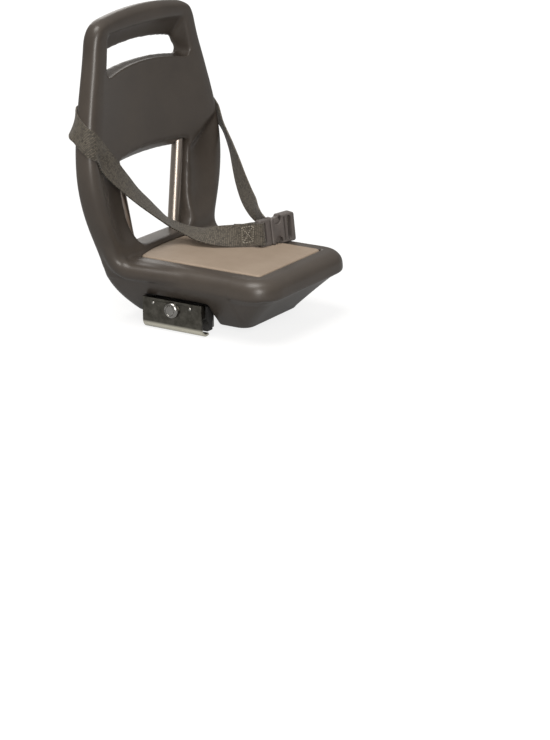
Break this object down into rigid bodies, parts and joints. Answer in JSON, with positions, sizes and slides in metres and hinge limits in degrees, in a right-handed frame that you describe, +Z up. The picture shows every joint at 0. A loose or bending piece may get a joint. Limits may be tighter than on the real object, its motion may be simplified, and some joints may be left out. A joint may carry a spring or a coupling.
{
  "type": "child bike seat",
  "caption": "Moulded child seat for a bicycle's rear carrier, with a carrying handle in its open back, a flat seat pad, a lap belt with a side-release buckle and rail clamps underneath.",
  "frame": {"origin": "midway between the two carrier rails, at the height of their centres, on the line of the clamp bolts", "axes": "+X forward, along the rails; +Y to the rider's left; +Z up"},
  "size_m": [0.2444, 0.2784, 0.3509],
  "materials": {
    "shell": "satin moulded skin, dark brown-grey",
    "pad": "smooth matt taupe foam pad",
    "tube": "polished stainless",
    "zinc_steel": "zinc plated",
    "plated_steel": "bright dark plating",
    "jaw": "matt black moulding",
    "fastener": "zinc plated",
    "insert": "plain",
    "webbing": "woven polyester webbing, olive-grey",
    "buckle": "satin moulding, grey"
  },
  "bodies": {
    "root": {"seat_shell": "shell", "seat_pad": "pad", "support_frame": "tube", "cross_plate": "zinc_steel", "side_plate_right": "plated_steel", "side_plate_left": "plated_steel", "clamp_jaw_right": "jaw", "clamp_jaw_left": "jaw", "clamp_bolt_right": "fastener", "clamp_bolt_left": "fastener", "clamp_washer_right": "fastener", "clamp_washer_left": "fastener", "clamp_nut_right": "fastener", "clamp_nut_left": "fastener", "base_inserts": "insert", "base_screws": "fastener", "base_washers": "fastener", "belt_keeper": "buckle", "keeper_screws": "fastener", "lap_belt": "webbing", "buckle_plug": "buckle", "buckle_socket": "buckle"}
  },
  "joints": []
}
